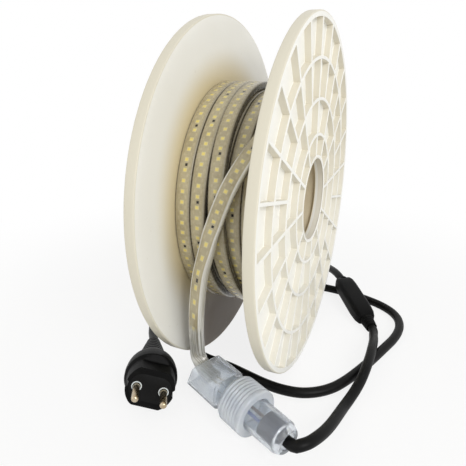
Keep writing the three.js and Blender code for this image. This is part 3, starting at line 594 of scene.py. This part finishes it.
def smooth_path(points, spacing):
    """A centripetal spline through the points, as the part's source draws it, cut into even steps near the
    spacing. Each stretch is the cubic a + b t + c t^2 + d t^3 with end slopes from the square roots of the
    gaps. A point that repeats the one before it is left out."""
    p = np.asarray(points, float)
    p = p[np.concatenate([[True], np.linalg.norm(np.diff(p, axis=0), axis=1) > 1e-6])]
    p = np.vstack([2 * p[0] - p[1], p, 2 * p[-1] - p[-2]])
    gap = np.sqrt(np.linalg.norm(np.diff(p, axis=0), axis=1))[:, None]
    before, start, end, after = p[:-3], p[1:-2], p[2:-1], p[3:]
    g0, g1, g2 = gap[:-2], gap[1:-1], gap[2:]
    slope_in = ((start - before) / g0 - (end - before) / (g0 + g1) + (end - start) / g1) * g1
    slope_out = ((end - start) / g1 - (after - start) / (g1 + g2) + (after - end) / g2) * g1
    t = np.linspace(0, 1, 30, endpoint=False)[:, None, None]
    curve = start + slope_in * t + (3 * (end - start) - 2 * slope_in - slope_out) * t**2
    curve = curve + (2 * (start - end) + slope_in + slope_out) * t**3
    dense = np.vstack([curve.transpose(1, 0, 2).reshape(-1, 3), p[-2]])
    far = distances(dense)
    at = np.linspace(0, far[-1], int(round(far[-1] / spacing)) + 1)
    return np.stack([np.interp(at, far, dense[:, axis]) for axis in range(3)], axis=1)


def smooth_step(t, start, end):
    """t * t * (3 - 2 t), with t taken as 0 at the start and 1 at the end."""
    t = np.clip((t - start) / (end - start), 0, 1)
    return t * t * (3 - 2 * t)


def eased(profile, radius, steps):
    """A profile with every inner corner rounded: the corner is replaced by the curve
    (1-t)^2 a + 2 t (1-t) corner + t^2 b between the points a and b that lie the radius away from it."""
    p = np.asarray(profile, float)

    def towards(neighbour):
        edge = neighbour - p[1:-1]
        length = np.linalg.norm(edge, axis=1, keepdims=True)
        return p[1:-1] + edge / length * np.minimum(radius, 0.45 * length)

    a, b = towards(p[:-2]), towards(p[2:])
    t = np.linspace(0, 1, steps + 1)[None, :, None]
    arcs = (1 - t)**2 * a[:, None] + 2 * t * (1 - t) * p[1:-1, None] + t**2 * b[:, None]
    return np.vstack([p[:1], arcs.reshape(-1, 2), p[-1:]])


def eased_loop(profile, radius, steps):
    """A closed profile with every corner rounded in the same way."""
    return eased(np.vstack([profile[-1:], profile, profile[:1]]), radius, steps)[1:-1]


def grooves(distance, pitch, depth):
    """How much a surface is sunk by grip rings: depth times the square of sin(2 pi distance / pitch) where
    that is above zero, and nothing between."""
    return depth * np.clip(np.sin(distance / pitch * 2 * np.pi), 0, 1)**2


def turned(profile, columns, centre=(0.0, 0.0)):
    """A profile of (x, radius) turned about the X axis: (x, r sin u, r cos u), moved sideways to centre."""
    p = np.asarray(profile, float)
    u = np.linspace(0, 2 * np.pi, columns, endpoint=False)
    x = np.broadcast_to(p[:, :1], (len(p), columns))
    return np.stack([x, centre[0] + p[:, 1:] * np.sin(u), centre[1] + p[:, 1:] * np.cos(u)], axis=-1)


def rounded_rectangle(width, height, corner, per_corner):
    """Points round a rectangle with quarter-circle corners, anticlockwise: corner centre + radius times
    (cos, sin)."""
    reach = min(corner, width / 2, height / 2)
    turn = np.linspace(0, np.pi / 2, per_corner)
    quarter = np.arange(4)[:, None] * np.pi / 2 + turn[None, :]
    centre_x = (width / 2 - reach) * np.array([1, -1, -1, 1])[:, None]
    centre_y = (height / 2 - reach) * np.array([1, 1, -1, -1])[:, None]
    corners = [centre_x + reach * np.cos(quarter), centre_y + reach * np.sin(quarter)]
    return np.stack(corners, axis=-1).reshape(-1, 2)


def swept(path, section, side):
    """The section carried along the path with its x towards side and its y along path direction x side,
    closed at both ends by shrinking to the middle. Its lay is (section x, section y, length so far)."""
    forward = unit_rows(np.gradient(path, axis=0))
    normal = unit_rows(np.cross(forward, side))
    width = np.cross(normal, forward)
    rows = np.concatenate([[0], np.arange(len(path)), [len(path) - 1]])
    size = np.ones(len(rows))
    size[[0, -1]] = 0
    x, y = section[None, :, :1] * size[:, None, None], section[None, :, 1:] * size[:, None, None]
    points = path[rows][:, None] + x * width[rows][:, None] + y * normal[rows][:, None]
    length = np.broadcast_to(distances(path)[rows][:, None, None], x.shape)
    return points, np.concatenate([x, y, length], axis=-1)


def placed(points, place):
    """Points of a group's own frame brought to where the group lies: turned about X, Y, then Z, and moved."""
    origin, turns = place
    turn = np.array(Euler(turns, "XYZ").to_matrix())
    return points @ turn.T + np.array(origin)


def ahead(place, steps):
    """Points at (distance along a group's own X, rise over it)."""
    return [placed(np.array([[distance, 0.0, 0.0]]), place)[0] + np.array([0, 0, rise])
            for distance, rise in steps]


def prism(section, stations, place):
    """A bar along the group's X: at each station (x, size) its ring is (x, size times the section). Sizes of
    0 close the ends."""
    x, size = np.array(stations, float).T
    ring = section * size[:, None, None]
    points = np.concatenate([np.broadcast_to(x[:, None, None], ring.shape[:2] + (1,)), ring], axis=-1)
    return placed(points, place)


# Reel
def flange_points(side):
    """The flange as one closed loop of (x, r) turned round the axis. The outer face is sunk by
    POCKET_DEPTH times (inside a row of pockets) times (away from a radial rib); the ribs keep one width,
    because the columns near a rib lie asin(distance / r) from its middle line."""
    thickness = FLANGE_THICKNESS
    rows = np.array([BORE_RADIUS + BORE_WALL, *RING_RIBS, FLANGE_RADIUS - RIM_WALL])
    inner = rows[:-1] + np.array([0, 1, 1, 1]) * RIB_WIDTH / 2
    outer = rows[1:] - np.array([1, 1, 1, 0]) * RIB_WIDTH / 2
    offsets = np.array(RING_WALL[0])
    radii = np.concatenate([
        np.concatenate([a + offsets, np.linspace(a + POCKET_FLAT_FROM, b - POCKET_FLAT_FROM, 3),
                        b - offsets[::-1]])
        for a, b in zip(inner, outer)])
    edge = np.minimum(radii[:, None] - inner, outer - radii[:, None]).max(axis=1)
    sunk_by_row = np.interp(edge, *RING_WALL)
    row_number = np.searchsorted(rows, radii) - 1
    half_sector = np.pi / SECTORS
    r = radii[:, None, None]
    beside = np.arcsin(RIB_COLUMNS / r)
    between = np.broadcast_to(half_sector * POCKET_COLUMNS, (len(radii), 1, len(POCKET_COLUMNS)))
    away = np.concatenate([beside, between], axis=2)
    signed = np.concatenate([-away[:, :, :0:-1], away], axis=2)
    middle = RIB_PHASE + np.arange(SECTORS)[None, :, None] * 2 * half_sector
    angle = (middle + signed).reshape(len(radii), -1)
    rib = np.interp(np.abs(np.sin(signed) * r), *RADIAL_WALL)
    no_rib = (row_number < WIDE_POCKET_ROWS)[:, None, None] & (np.arange(SECTORS) % 2 == 1)[None, :, None]
    sunk = np.where(no_rib, 1.0, np.broadcast_to(rib, (len(radii), SECTORS, signed.shape[2])))
    x_face = thickness - POCKET_DEPTH * sunk_by_row[:, None] * sunk.reshape(len(radii), -1)
    turn = np.linspace(0, np.pi / 2, 5)
    late, early = 1 - np.cos(turn), 1 - np.sin(turn)
    rim = np.stack([thickness - RIM_ROUNDING * late, FLANGE_RADIUS - RIM_ROUNDING * early], 1)
    rim_back = np.stack([RIM_ROUNDING * early, FLANGE_RADIUS - RIM_ROUNDING * late], 1)
    inner_face = np.stack([np.zeros(5), np.linspace(INNER_FACE_FROM, INNER_FACE_TO, 5)], 1)
    bore = np.stack([BORE_ROUNDING * early, BORE_RADIUS + BORE_ROUNDING * late], 1)[::-1]
    bore_out = np.stack([thickness - BORE_ROUNDING * late, BORE_RADIUS + BORE_ROUNDING * early], 1)
    plain = np.vstack([rim, rim_back, inner_face, bore, bore_out])
    even = angle[-1]
    x = np.vstack([x_face, np.broadcast_to(plain[:, :1], (len(plain), len(even)))])
    radius = np.concatenate([radii, plain[:, 1]])[:, None]
    phi = np.vstack([angle, np.broadcast_to(even, (len(plain), len(even)))])
    return np.stack([side * (FLANGE_INSIDE + x), side * radius * np.sin(phi),
                     AXIS_HEIGHT - radius * np.cos(phi)], axis=-1)


def drum_points():
    """The hub drum turned about the axis: outer tube, inner tube and the web between them."""
    end = FLANGE_INSIDE - SEAT
    outer, inner, web = DRUM_RADIUS, DRUM_BORE, DRUM_WALL / 2
    profile = [[-end, outer], [end, outer], [end, outer - DRUM_WALL], [web, outer - DRUM_WALL],
               [web, inner + DRUM_WALL], [end, inner + DRUM_WALL], [end, inner], [-end, inner],
               [-end, inner + DRUM_WALL], [-web, inner + DRUM_WALL], [-web, outer - DRUM_WALL],
               [-end, outer - DRUM_WALL], [-end, outer]]
    return turned(eased(profile, DRUM_EDGE, 2)[:-1], 96, (0.0, AXIS_HEIGHT))


def make_reel():
    for side, word in ((1, "right"), (-1, "left")):
        piece("reel_flange_" + word, [(flange_points(side), True, True)], WHITE_PLASTIC,
              ["flange_" + word])
    piece("reel_drum", [(drum_points(), True, True)], DRUM_PLASTIC, ["hub_drum"])


# Strip
def strip_section():
    return rounded_rectangle(STRIP_WIDTH, STRIP_THICKNESS, STRIP_CORNER, 4)


def about_axis(angle, x, height):
    """Points about the reel's axis, at an angle from the front in radians: with r = LOW_RADIUS + height they
    are (x, -r cos angle, axis height + r sin angle)."""
    radius = LOW_RADIUS + height
    return np.stack([x, -radius * np.cos(angle), AXIS_HEIGHT + radius * np.sin(angle)], axis=1)


def upper_path():
    """A path through UPPER_TURNS. The table is first smoothed and filled in every few degrees, with x and
    height weighted up so that the spline follows them as closely as the angle."""
    weights = [1, 8, 8]
    angle, x, height = (smooth_path(np.array(UPPER_TURNS) * weights, 6.0) / weights).T
    return smooth_path(about_axis(np.radians(angle), x, height), WINDING_STEP)


def lead_off_end():
    """The path of the last turn and the direction at its end, which the hanging tail goes on from."""
    angle, x, height = np.array(LEAD_OFF, float).T
    path = smooth_path(about_axis(np.radians(angle), x, height), LEAD_OFF_STEP)
    heading = path[-1] - path[-2]
    return path, heading / np.linalg.norm(heading)


def make_winding():
    """The upper turns as one length of strip, the turns of the layer below as rings under them, and a plain
    ring down to the drum that stands for the layers inside."""
    width_axis = np.array([1.0, 0.0, 0.0])

    def laid(path, shift):
        points, lay = swept(path, strip_section(), np.broadcast_to(width_axis, path.shape))
        lay[..., 2] += shift
        return points, False, True, lay

    lead_off, _ = lead_off_end()
    path = smooth_path(np.vstack([upper_path(), lead_off[::8], lead_off[-1:]]), WINDING_STEP)
    patches = [laid(path, PATTERN_AT_TAIL - path_length(path))]
    turn = np.linspace(np.pi, 3 * np.pi, 181)
    for number in range(LOW_TURNS):
        x = min(FIRST_TURN + TURN_PITCH * number, LAST_TURN)
        ring = about_axis(-turn, np.full_like(turn, x), -STRIP_THICKNESS / 2)
        patches.append(laid(ring, PATTERN_SHIFT * number))
    end, low = FILL_HALF_WIDTH, DRUM_RADIUS + 0.4
    fill = turned([[-end, low], [-end, FILL_RADIUS], [end, FILL_RADIUS], [end, low]], 120,
                  (0.0, AXIS_HEIGHT))
    patches.append((fill, True, True))
    piece("wound_strip", patches, WOUND_STRIP, ["strip_winding"])


def make_tail():
    """The hanging tail: from the lead-off turn's end to inside the connector, its side turned by TAIL_TWIST
    over the first quarter and brought flat to the connector over the last one. Its lamps lie further apart
    downwards, as in the photograph: the pattern's length at s is the integral of 1 / (TAIL_STRETCH +
    TAIL_STRETCH_GROWTH s)."""
    lead_off, heading = lead_off_end()
    start = lead_off[-1]
    path = smooth_path([start, start + TAIL_LEAD * heading, *TAIL, *ahead(CONNECTOR, TAIL_AT_CONNECTOR)],
                       TAIL_STEP)
    share = np.linspace(0, 1, len(path))
    twist = TAIL_TWIST * smooth_step(share, 0, 0.25)
    hanging = np.stack([np.cos(twist), np.sin(twist), np.zeros_like(twist)], axis=1)
    flat = placed(np.array([[0.0, 1.0, 0.0]]), (np.zeros(3), CONNECTOR[1]))[0]
    side = hanging + (flat - hanging) * smooth_step(share, 0.74, 0.96)[:, None]
    points, lay = swept(path, strip_section(), side)
    stretch = TAIL_STRETCH + TAIL_STRETCH_GROWTH * lay[..., 2]
    lay[..., 2] = PATTERN_AT_TAIL + np.log(stretch / TAIL_STRETCH) / TAIL_STRETCH_GROWTH
    tail = piece("strip_tail", [(points, False, True, lay)], HANGING_STRIP,
                 ["strip_tail_jacket", "strip_tail_board"])
    return tail, path


# Connector
def socket_points():
    """A rounded rectangle that turns into a circle, carried from the slanted mouth to the neck and back
    inside it. A ring's x is its station's x + share * SOCKET_SLANT * (height of the point / height of the
    block)."""
    width, height, _ = SOCKET_BLOCK
    block = rounded_rectangle(*SOCKET_BLOCK, 10)
    cavity = rounded_rectangle(*SOCKET_CAVITY, 10)
    turn = np.arctan2(block[:, 1] / height, block[:, 0] / width)
    circle = np.stack([np.cos(turn), np.sin(turn)], axis=1)
    # Ring, its size, x, and its share of the slant
    stations = [(block, 0.97, 0.0, 1), (block, 1, 0.7, 1), (block, 1, 3, 0.75), (block, 1, 31.5, 0),
                (block, 0.985, 33.2, 0), (circle, 12.9, 34.6, 0), (circle, 12.7, 36, 0),
                (circle, 12.7, 45.6, 0), (circle, 12.2, 46, 0), (circle, 10.8, 46, 0),
                (circle, 10.7, 45.5, 0), (circle, 10.7, 32.2, 0), (circle, 10.2, 31.6, 0),
                (cavity, 0.96, 31, 0), (cavity, 1, 30, 0), (cavity, 1, 3, 0.75), (cavity, 1, 0.7, 1),
                (cavity, 1.03, 0.0, 1)]
    return np.array([np.column_stack([x + share * SOCKET_SLANT * (ring[:, 1] + height / 2) / height,
                                      ring * size]) for ring, size, x, share in stations])


def collar_profile():
    """(x, r) of the collar. Its ridges are r = COLLAR_RADIUS - RIDGE_DEPTH (0.5 - 0.5 cos(turn))^1.6, with
    one turn for each ridge."""
    x = np.linspace(RIDGES_FROM, RIDGES_TO, 97)
    turn = (x - RIDGES_FROM) / ((RIDGES_TO - RIDGES_FROM) / COLLAR_RIDGES) * 2 * np.pi
    ridges = np.column_stack([x, COLLAR_RADIUS - RIDGE_DEPTH * (0.5 - 0.5 * np.cos(turn))**1.6])
    neck_end = [[40, 14.2], [40, 14.8], [40.5, 15.6], [41.5, 16.3], [42.4, 16.5]]
    cable_end = [[60, 17], [61, 16.9], [61.7, 16.5], [62, 15.9], [62, 11.9]]
    inside = [[59.9, 11.8], [59.8, 13.8], [46.1, 13.8], [46, 13], [40.2, 13]]
    return np.vstack([neck_end, ridges, cable_end, inside])


def make_connector():
    """Socket, collar and cable housing, each one closed wall with its inside. The last two are turned."""
    housing_profile = [[55.6, 9.1], [55.5, 13.3], [59.4, 13.4], [59.6, 11.5], [85.5, 11.1], [89, 9.6],
                       [90.4, 8.6], [90.4, 6.2], [90, 5.8], [84.9, 5.8], [84.8, 9], [56, 9]]
    return [piece(name, [(placed(points, CONNECTOR), True, True)], finish, [node])
            for name, points, finish, node in (
                ("clear_socket", socket_points(), SOCKET_CLEAR, "strip_socket"),
                ("ridged_collar", turned(collar_profile(), 96), COLLAR_CLEAR, "coupling_collar"),
                ("cable_end_housing", turned(eased_loop(housing_profile, 0.5, 3), 72), HOUSING_CLEAR,
                 "cable_housing"))]


# Rectifier box
def make_box():
    """Two half shells with tapered ends and a fine seam between them, and ringed strain reliefs."""
    whole = rounded_rectangle(*BOX_SECTION, 8)
    edge = BOX_SECTION[0] / 2
    made = []
    for half, name, node in ((1, "box_top", "box_cover"), (-1, "box_bottom", "box_base")):
        seam = BOX_SEAM * half
        shell = np.vstack([[[edge * half, seam]], whole[whole[:, 1] * half > 0], [[-edge * half, seam]]])
        made.append(piece(name, [(prism(shell, BOX_STATIONS, BOX), False, True)], BLACK,
                          [node]))
    for name, node, start, length in (("front_strain_relief", "box_relief_front", BOX_LENGTH, 12),
                                      ("rear_strain_relief", "box_relief_rear", 0, -4)):
        share = np.linspace(0, 1, 61)
        radius = RELIEF_RADIUS - RELIEF_TAPER * share - grooves(share * abs(length), 3, 0.45)
        outside = np.column_stack([start + length * share, radius])
        profile = np.vstack([[[start, RELIEF_BORE]], outside,
                             [[start + length, RELIEF_BORE + 0.2], [start + length * 0.98, RELIEF_BORE]]])
        made.append(piece(name, [(placed(turned(profile, 64), BOX), True, True)], BLACK_RUBBER,
                          [node], sharp=60))
    return made


# Plug
def plug_points():
    """A profile of front, dome and sleeve with grip rings, turned about X. The front is then flattened above
    and below: z is cut off at PLUG_HALF_HEIGHT + PLUG_SHOULDER_RISE times the way over the shoulder. A thumb
    notch moves the points at each side of the front inwards."""
    front = eased([[0, 14], [0, 17.2], [13.6, 17.2], [15.6, 19], [21, 19]], 0.7, 4)
    dome = smooth_path([(21, 19, 0), (29, 17.8, 0), (36, 14.4, 0), (42, 13, 0)], 0.8)[:, :2]
    x = np.linspace(SLEEVE_FROM, SLEEVE_TO, 79)
    sleeve = np.column_stack([x, np.linspace(12, 5.7, 79) - grooves(x - 46, 6, 0.5) * (x > 46)])
    cable_end = [[82, 4.6], [81, 4.15], [72, 4.15], [71.9, 0]]
    profile = np.vstack([[[0, 0], [0, 7]], front[:-1], dome, sleeve, cable_end])
    x, y, z = np.moveaxis(turned(profile, 144), -1, 0)
    shoulder = np.clip((x - PLUG_FRONT_END) / PLUG_SHOULDER_LENGTH, 0, 1)
    limit = PLUG_HALF_HEIGHT + shoulder * PLUG_SHOULDER_RISE
    flat = np.sign(z) * np.minimum(np.abs(z), limit)
    corner = np.clip((np.abs(z) - limit + PLUG_CORNER) / PLUG_CORNER, 0, 1)
    y = y * (1 - 0.02 * corner * (1 - shoulder))
    notch = NOTCH_DEPTH * np.clip(1 - np.abs(z) / NOTCH_HALF_WIDTH, 0, NOTCH_SLOPE) / NOTCH_SLOPE
    notch = notch * (x < NOTCH_LENGTH) * (np.abs(y) > NOTCH_SIDE)
    return np.stack([x, y - np.sign(y) * notch, flat], axis=-1)


def insert_points():
    """A bar that fills the plug's front, with its end edges eased."""
    start, end, edge = -0.25, 8.7, 0.4
    section = rounded_rectangle(29.4, 19.4, 8.7, 12)
    half = np.abs(section).max()
    less, nearly = 1 - edge / half, 1 - 0.3 * edge / half
    stations = [(start, 0), (start, less), (start + 0.3 * edge, nearly), (start + edge, 1), (end - edge, 1),
                (end - 0.3 * edge, nearly), (end, less), (end, 0)]
    return prism(section, stations, PLUG)


def make_plug():
    """The moulding, the insert that carries the pins, and each pin with its ring."""
    made = [piece("plug_moulding", [(placed(plug_points(), PLUG), False, True)], BLACK,
                  ["plug_body"], sharp=50),
            piece("plug_insert", [(insert_points(), False, True)], EPOXY,
                  ["plug_pin_bridge"])]
    t = np.linspace(0, np.pi / 2, 8)
    nose = np.column_stack([PIN_NOSE - PIN_REACH - PIN_NOSE * np.cos(t), 0.6 + PIN_NOSE * np.sin(t)])
    pin = np.vstack([[[-PIN_REACH, 0]], nose, [[5.4, PIN_RADIUS], [5.5, 0]]])
    ring = eased_loop([[-0.4, 2.75], [-0.4, 3.6], [0.8, 3.6], [0.8, 2.75]], 0.2, 3)
    for side, word in ((-1, "left"), (1, "right")):
        centre = (PIN_OFFSET * side, 0)
        made.append(piece("pin_" + word, [(placed(turned(pin, 40, centre), PLUG), False, True)], PIN_METAL,
                          ["plug_pin_" + word]))
        made.append(piece("grey_ring_" + word, [(placed(turned(ring, 48, centre), PLUG), True, True)],
                          RING_GREY, ["pin_ring_" + word]))
    return made


# Cables
def make_cable(name, path, node):
    """A circle of CABLE_DIAMETER carried along the path."""
    turn = np.linspace(0, 2 * np.pi, 24, endpoint=False)
    section = np.stack([np.cos(turn), np.sin(turn)], axis=1) * CABLE_DIAMETER / 2
    upright = np.broadcast_to(np.array([0.0, 0.0, 1.0]), path.shape)
    points, lay = swept(path, section, upright)
    return piece(name, [(points, False, True, lay)], CABLE, [node], sharp=60)


def dress_kept_nodes():
    """Inner pieces whose CAD shape is right keep it and get their finish."""
    finishes = {
        "contact_carrier": CARRIER_GREY, "contact_pin_left": TINNED, "contact_pin_right": TINNED,
        "core_wire_blue": BLUE, "core_wire_brown": BROWN, "cable_seal": SEAL_NAVY,
        "rectifier_board": BOARD_GREEN, "bridge_rectifier": EPOXY,
    }
    for node, finish in finishes.items():
        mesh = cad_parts[node].data
        mesh.materials.clear()
        mesh.materials.append(finish)


# Floor and world
def emptied(holder):
    """The field of a material's or world's node tree, with no nodes in it yet."""
    holder.use_nodes = True
    holder.node_tree.nodes.clear()
    return Field(holder.node_tree)


def seen(f):
    """1 on rays from the camera and on reflected and refracted ones, and 0 on those that only bring light."""
    camera, glossy, transmission = [f.node("LightPath", out=f"Is {kind} Ray")
                                    for kind in ("Camera", "Glossy", "Transmission")]
    return f.math("MAXIMUM", camera, f.math("MAXIMUM", glossy, transmission))


def show_mixed(f, output, factor, first, second):
    """Ends a node tree with a mix of two shaders."""
    shown = f.node("MixShader", {0: factor, 1: first, 2: second})
    f.tree.links.new(shown.socket, f.tree.nodes.new(output).inputs[0])


def make_stage():
    """A pale floor that shows as white with the object's shadow in it, a white world around it, and lamps."""
    reach = FLOOR_REACH
    mesh = bpy.data.meshes.new("floor")
    mesh.from_pydata([(-reach, -reach, 0), (reach, -reach, 0), (reach, reach, 0), (-reach, reach, 0)], [],
                     [(0, 1, 2, 3)])
    floor = bpy.data.objects.new("floor", mesh)
    show(floor)
    made = bpy.data.materials.new("pale_floor")
    f = emptied(made)
    shaded = f.node("BsdfDiffuse", {"Color": rgb(0.85, 0.85, 0.84)})
    white = f.node("Emission", {"Color": rgb(1, 1, 1), "Strength": 1.0})
    x, y, _ = f.parts(f.place())
    far_off = f.math("SQRT", x * x + y * y).rise(*FLOOR_FADE)
    show_mixed(f, "ShaderNodeOutputMaterial", seen(f) * (FLOOR_WHITE + far_off * (1 - FLOOR_WHITE)),
               shaded, white)
    mesh.materials.append(made)

    world = bpy.data.worlds.new("studio")
    bpy.context.scene.world = world
    f = emptied(world)
    soft = f.node("Background", {"Color": rgb(1, 0.995, 0.985), "Strength": SKY_STRENGTH})
    white = f.node("Background", {"Color": rgb(1, 1, 1), "Strength": 1.0})
    show_mixed(f, "ShaderNodeOutputWorld", seen(f), soft, white)
    for name, place, size, power in LAMPS:
        make_lamp(name, place, size, power)


make_camera()
output_path = smooth_path([*ahead(BOX, OUTPUT_AT_BOX), *OUTPUT_CABLE,
                           *ahead(CONNECTOR, OUTPUT_AT_CONNECTOR)], OUTPUT_STEP)[::-1]
mains_path = smooth_path([*ahead(PLUG, MAINS_AT_PLUG), *MAINS_CABLE, *ahead(BOX, MAINS_AT_BOX)],
                         MAINS_STEP)[::-1]
output_cable = make_cable("output_lead", output_path, "output_cable")
mains_cable = make_cable("mains_lead", mains_path, "mains_cable")
make_reel()
make_winding()
tail, tail_path = make_tail()
connector_pieces = make_connector()
box_pieces = make_box()
plug_pieces = make_plug()
dress_kept_nodes()
make_stage()
bpy.context.scene.view_settings.view_transform = "Standard"
